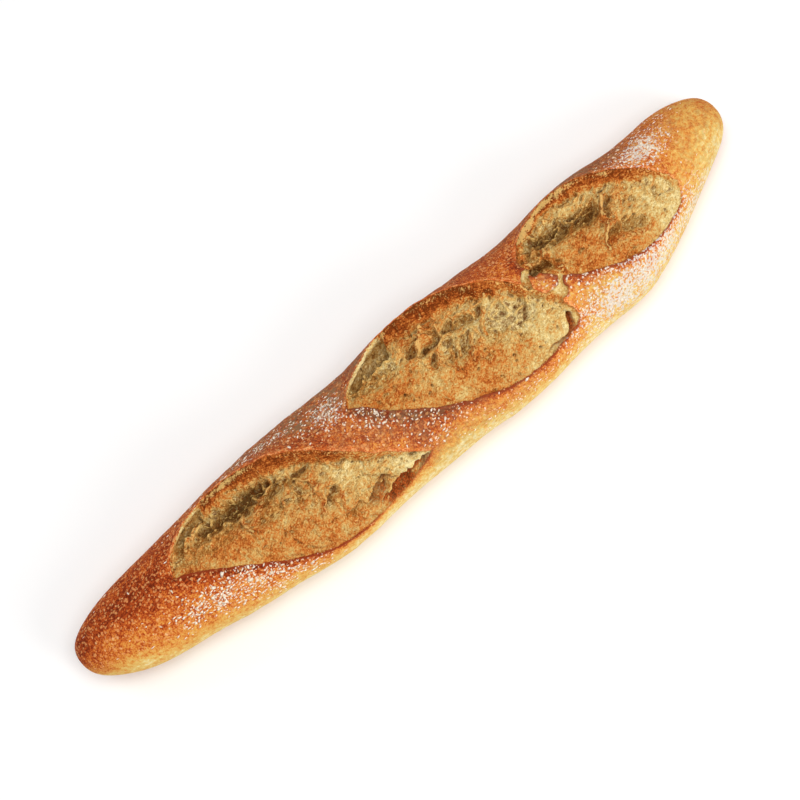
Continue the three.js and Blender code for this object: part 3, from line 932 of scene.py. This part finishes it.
class Nodes:
    """Adds shader nodes to a material. A value is a number, a colour or another's output."""

    def __init__(self, name):
        self.material = bpy.data.materials.new(name)
        self.material.use_nodes = True
        self.tree = self.material.node_tree
        self.tree.nodes.clear()
        place = self.add("TexCoord").outputs["Object"]
        self.place = self.vector("SCALE", {0: place, "Scale": 1 / MM})

    def add(self, kind, settings=(), inputs=()):
        node = self.tree.nodes.new("ShaderNode" + kind)
        for name, value in dict(settings).items():
            setattr(node, name, value)
        for name, value in dict(inputs).items():
            socket = node.inputs[name]
            if isinstance(value, bpy.types.NodeSocket):
                self.tree.links.new(value, socket)
            else:
                socket.default_value = value
        return node

    def finished(self, shader, inputs):
        """The material, with this shader as its surface."""
        surface = self.add(shader, (), inputs).outputs["BSDF"]
        self.add("OutputMaterial", (), {"Surface": surface})
        return self.material

    def vector(self, operation, inputs):
        return self.add("VectorMath", {"operation": operation}, inputs).outputs[0]

    def math(self, operation, a, b=0.0, c=0.0):
        return self.add("Math", {"operation": operation}, {0: a, 1: b, 2: c}).outputs[0]

    def times(self, a, b):
        return self.math("MULTIPLY", a, b)

    def line(self, value, slope, start):
        return self.math("MULTIPLY_ADD", value, slope, start)

    def vary(self, value, field, amount):
        """The value, moved up and down by a field that runs from 0 to 1."""
        return self.math("ADD", value, self.line(field, amount, -amount / 2))

    def number(self, name):
        """A number that add_numbers gave to the mesh."""
        return self.add("Attribute", {"attribute_name": name}).outputs["Fac"]

    def ease(self, value, low, high):
        inputs = {"Value": value, "From Min": low, "From Max": high}
        return self.add("MapRange", {"interpolation_type": "SMOOTHSTEP"}, inputs).outputs[0]

    def mix(self, share, a, b):
        settings = {"data_type": "RGBA", "clamp_factor": True}
        return self.add("Mix", settings, {0: share, 6: a, 7: b}).outputs[2]

    def ramp(self, value, stops):
        """The colour between stops, which are (position, red, green, blue)."""
        node = self.add("ValToRGB", (), {"Fac": value})
        elements = node.color_ramp.elements
        while len(elements) < len(stops):
            elements.new(1.0)
        for element, (position, *shade) in zip(elements, stops):
            element.position = position
            element.color = colour(*shade)
        return node.outputs["Color"]

    def noise(self, size, detail=2.0, place=None, output="Fac"):
        inputs = {"Vector": place or self.place, "Scale": 1 / size, "Detail": detail}
        return self.add("TexNoise", (), inputs).outputs[output]

    def warped(self, size, amount):
        """Places moved about by noise, so that what is drawn there has uneven outlines."""
        swirl = self.noise(size, 1.0, output="Color")
        return self.vector("ADD", {0: self.place, 1: self.vector("SCALE", {0: swirl, "Scale": amount})})

    def fibres(self, breadth, length, turn):
        """Noise drawn out into wavy strands that run at a turn from x, from 0 to 1."""
        scale = (length, breadth, breadth)
        inputs = {"Vector": self.warped(4.0, 3.0), "Rotation": (0, 0, turn), "Scale": scale}
        place = self.add("Mapping", {"vector_type": "TEXTURE"}, inputs).outputs["Vector"]
        return self.ease(self.noise(1.0, 2.0, place), 0.3, 0.7)

    def cells(self, size, place):
        """Distance in cell sizes, and two random numbers for each cell."""
        node = self.add("TexVoronoi", (), {"Vector": place, "Scale": 1 / size})
        parts = self.add("SeparateColor", (), {"Color": node.outputs["Color"]})
        return node.outputs["Distance"], parts.outputs["Red"], parts.outputs["Green"]

    def specks(self, size, reach, chance, place):
        """1 on specks up to reach wide, in cells of that size, 0 between them."""
        distance, pick, width = self.cells(size, place)
        radius = self.line(width, 0.5 * reach / size, 0.25 * reach / size)
        there = self.ease(self.math("SUBTRACT", radius, distance), -0.05, 0.08)
        return self.times(there, self.math("LESS_THAN", pick, chance))


# Each shade is (position, red, green, blue).
CRUST_SHADES = [
    (0.0, 236, 220, 168), (0.16, 228, 194, 112), (0.32, 222, 161, 77), (0.48, 212, 126, 52),
    (0.64, 190, 90, 36), (0.8, 156, 60, 22), (1.0, 106, 36, 12),
]
EAR_SHADES = [(0.1, 164, 70, 28), (0.5, 224, 112, 50), (0.9, 244, 176, 108)]
CRUMB_SHADES = [
    (0.0, 234, 214, 156), (0.2, 214, 184, 116), (0.42, 206, 154, 84), (0.6, 198, 118, 50),
    (0.78, 166, 82, 30), (1.0, 112, 48, 10),
]
SHADED_SCORCH_SHADES = [(0.1, 96, 40, 12), (0.5, 158, 68, 24), (0.9, 208, 106, 48)]
FLOUR_SHADES = [(0.3, 226, 204, 172), (0.6, 250, 240, 222)]


def crust_colour(nodes, fine, medium, coarse):
    """Red-brown to golden crust with flour on it, and how much stands up from it."""
    warped = nodes.warped(1.5, 1.6)
    browning = nodes.number("bake")
    bake = nodes.vary(browning, medium, 0.24)
    strength = nodes.line(nodes.ease(bake, 0.15, 0.6), 0.26, 0.16)
    bake = nodes.line(nodes.math("SUBTRACT", fine, 0.5), strength, bake)
    crust = nodes.ramp(bake, CRUST_SHADES)
    blister = nodes.times(nodes.specks(1.5, 1.2, 0.6, warped), nodes.ease(browning, 0.28, 0.55))
    crust = nodes.mix(nodes.times(blister, 0.55), crust, colour(236, 166, 102))

    # the orange edge of the ear, and the dark line along the low edge
    edge = nodes.number("edge")
    ear_side = nodes.number("ear_side")
    ragged = nodes.vary(nodes.vary(edge, medium, 1.2), coarse, 1.6)
    ear_edge = nodes.times(nodes.ease(ragged, -1.5, -0.5), ear_side)
    shade = nodes.ramp(nodes.vary(fine, medium, 0.8), EAR_SHADES)
    crust = nodes.mix(nodes.times(ear_edge, 0.85), crust, shade)
    low_edge = nodes.ease(nodes.vary(edge, coarse, 1.0), -1.7, -0.4)
    low_edge = nodes.math("SUBTRACT", low_edge, ear_side)
    low_edge = nodes.times(low_edge, nodes.ease(browning, 0.35, 0.75))
    crust = nodes.mix(nodes.times(low_edge, 0.85), crust, colour(140, 54, 24))

    # a thin bloom of flour that is also painted shade on the far +y flank, a dense white film with
    # gaps, and single specks of flour
    bloom_and_shade = nodes.times(nodes.number("bloom_and_shade"), nodes.ease(nodes.noise(2.2, 4.0), 0.22, 0.72))
    crust = nodes.mix(nodes.times(bloom_and_shade, 0.85), crust, colour(132, 102, 72))
    film = nodes.number("film")
    thick = nodes.ease(nodes.line(film, 0.19, nodes.noise(1.3, 3.0)), 0.62, 0.75)
    film = nodes.times(thick, nodes.ease(film, 0.03, 0.2))
    crust = nodes.mix(nodes.times(film, 0.82), crust, colour(216, 212, 204))
    dust = nodes.number("dust")
    flour = nodes.specks(1.25, 1.0, nodes.line(dust, 0.6, 0.04), warped)
    speck = nodes.mix(nodes.ease(dust, 0.05, 0.3), colour(238, 184, 126), colour(244, 228, 206))
    crust = nodes.mix(nodes.times(flour, 0.7), crust, speck)
    return crust, nodes.math("MAXIMUM", flour, nodes.times(blister, 0.6))


def crumb_colour(nodes, fine, medium, coarse, grain, fibres):
    """Torn crumb: straw to toasted orange, with painted shade in the hollows, in pits and under the
    ear, and a painted highlight on raised bits.
    """
    toast = nodes.vary(nodes.number("toast"), nodes.times(grain, coarse), 0.2)
    for field, amount in ((medium, 0.17), (fine, 0.27), (fibres, 0.2)):
        toast = nodes.vary(toast, field, amount)
    streaks = nodes.math("SUBTRACT", nodes.fibres(0.8, 4.5, STREAK_TURN), 0.5)
    toast = nodes.line(streaks, nodes.times(nodes.number("face"), 0.3), toast)
    crumb = nodes.ramp(toast, CRUMB_SHADES)
    # painted shade: the deeper the hollow, and under the ear, the browner and darker the crumb
    cave = nodes.number("cave")
    for field, amount in ((medium, 2.6), (fine, 1.6), (fibres, 2.0)):
        cave = nodes.vary(cave, field, amount)
    crumb = nodes.mix(nodes.times(nodes.ease(cave, 0.6, 4.2), 0.68), crumb, colour(142, 96, 40))
    crumb = nodes.mix(nodes.times(nodes.ease(cave, 3.8, 8.0), 0.8), crumb, colour(76, 42, 8))
    # red-brown baked walls, partly painted shade where an overhang shadows them
    shade = nodes.ramp(nodes.vary(fine, medium, 0.6), SHADED_SCORCH_SHADES)
    crumb = nodes.mix(nodes.times(nodes.number("shaded_scorch"), 0.9), crumb, shade)
    # painted shade in small pits, and a painted highlight on raised crumb
    relief = nodes.vary(nodes.vary(nodes.number("fine"), fine, 0.7), fibres, 0.6)
    pit_shade = nodes.ease(relief, 0.25, 1.3)
    crumb = nodes.mix(nodes.times(pit_shade, 0.7), crumb, colour(118, 62, 14))
    # painted highlight on raised crumb
    raised_highlight = nodes.ease(relief, -0.5, -1.3)
    return nodes.mix(nodes.times(raised_highlight, 0.62), crumb, colour(242, 204, 124))


FIBRE_TURN = math.radians(35)
STREAK_TURN = math.radians(-20)


def bread_material():
    """Crust outside, torn crumb in the slashes."""
    nodes = Nodes("bread")
    fine = nodes.ease(nodes.noise(0.8), 0.25, 0.75)
    medium = nodes.ease(nodes.noise(2.4), 0.25, 0.75)
    coarse = nodes.ease(nodes.noise(7.0), 0.3, 0.6)
    grain = nodes.ease(nodes.cells(1.5, nodes.warped(2.0, 2.0))[0], 0.1, 0.75)
    fibres = nodes.fibres(0.7, 3.0, FIBRE_TURN)
    crust, raised = crust_colour(nodes, fine, medium, coarse)
    crumb = crumb_colour(nodes, fine, medium, coarse, grain, fibres)
    torn = nodes.ease(nodes.vary(nodes.number("rim"), fine, 0.5), -0.15, 0.15)

    rough = nodes.times(nodes.noise(1.4, 4.0), 1.2)
    crust_height = nodes.line(raised, 0.25, rough)
    crumb_height = nodes.line(grain, -1.0, nodes.times(rough, 1.3))
    crumb_height = nodes.line(fibres, -0.4, crumb_height)
    height = nodes.add("Mix", {"data_type": "FLOAT"}, {0: torn, 2: crust_height, 3: crumb_height})
    inputs = {"Height": height.outputs[0], "Distance": 0.5 * MM, "Strength": 0.8}
    bump = nodes.add("Bump", (), inputs).outputs["Normal"]
    base = nodes.mix(torn, crust, crumb)
    inputs = {"Base Color": base, "Roughness": 0.75, "Specular IOR Level": 0.06, "Normal": bump}
    return nodes.finished("BsdfPrincipled", inputs)


def flour_material():
    nodes = Nodes("flour")
    shade = nodes.ramp(nodes.noise(2.0), FLOUR_SHADES)
    inputs = {"Base Color": shade, "Roughness": 0.9, "Specular IOR Level": 0.1}
    return nodes.finished("BsdfPrincipled", inputs)


# ---------- floor, light and camera
FLOOR_REACH = 3000.0
# Area lights, in metres, that aim at the loaf: (name, place, size, watts, tint)
LIGHTS = [
    ("overhead", (0.15, -0.25, 1.3), 1.1, 12, (1.0, 0.985, 0.96)),
    ("side", (0.5, -1.1, 0.7), 0.7, 7, (1.0, 0.98, 0.95)),
    ("fill", (-0.7, 1.2, 0.9), 0.9, 4.5, (1.0, 0.99, 0.98)),
]


def add_floor():
    corners = ((-1, -1, 0), (1, -1, 0), (1, 1, 0), (-1, 1, 0))
    floor = new_mesh("floor", np.array(corners) * FLOOR_REACH, np.array([[0, 1, 2, 3]]))
    material = Nodes("floor").finished("BsdfDiffuse", {"Color": (0.95, 0.95, 0.95, 1)})
    floor.data.materials.append(material)


def add_lights():
    """Soft area lights, and a pale surrounding."""
    for name, place, size, watts, tint in LIGHTS:
        data = bpy.data.lights.new(name, "AREA")
        data.shape = "DISK"
        data.size = size
        data.energy = watts
        data.color = tint
        light = add_object(name, data)
        light.location = place
        light.rotation_euler = (-Vector(place)).to_track_quat("-Z", "Y").to_euler()
    world = bpy.data.worlds.new("studio")
    world.use_nodes = True
    background = world.node_tree.nodes["Background"]
    background.inputs["Color"].default_value = (0.95, 0.97, 1.0, 1)
    background.inputs["Strength"].default_value = 0.4
    bpy.context.scene.world = world


LENS = 85.0
CAMERA_TILT = math.radians(17.0)
CAMERA_ROLL = math.radians(-40.7)
CAMERA_TARGET = (0.0, 0.0, 22.0)
CAMERA_PLACE = (-7.2, 1.8, 955.6)  # from the target, along the camera's own axes


def add_camera():
    """Looks down on the loaf, tilted towards its -y side and rolled in the picture."""
    turn = Matrix.Rotation(CAMERA_TILT, 4, "X") @ Matrix.Rotation(CAMERA_ROLL, 4, "Z")
    place = Vector(CAMERA_TARGET) + turn @ Vector(CAMERA_PLACE)
    data = bpy.data.cameras.new("camera")
    data.lens = LENS
    camera = add_object("camera", data)
    camera.matrix_world = Matrix.Translation(place * MM) @ turn
    bpy.context.scene.camera = camera


# ---------- the scene
maps = make_maps()
add_colour_maps(maps)
loaf = make_loaf(maps)
add_numbers(loaf, maps)
loaf.data.materials.append(bread_material())
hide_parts("loaf")
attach(loaf, "root")

flour = add_flour(maps, loaf)
flour.data.materials.append(flour_material())
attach(flour, "root")

add_floor()
add_lights()
add_camera()
bpy.context.scene.view_settings.view_transform = "Standard"
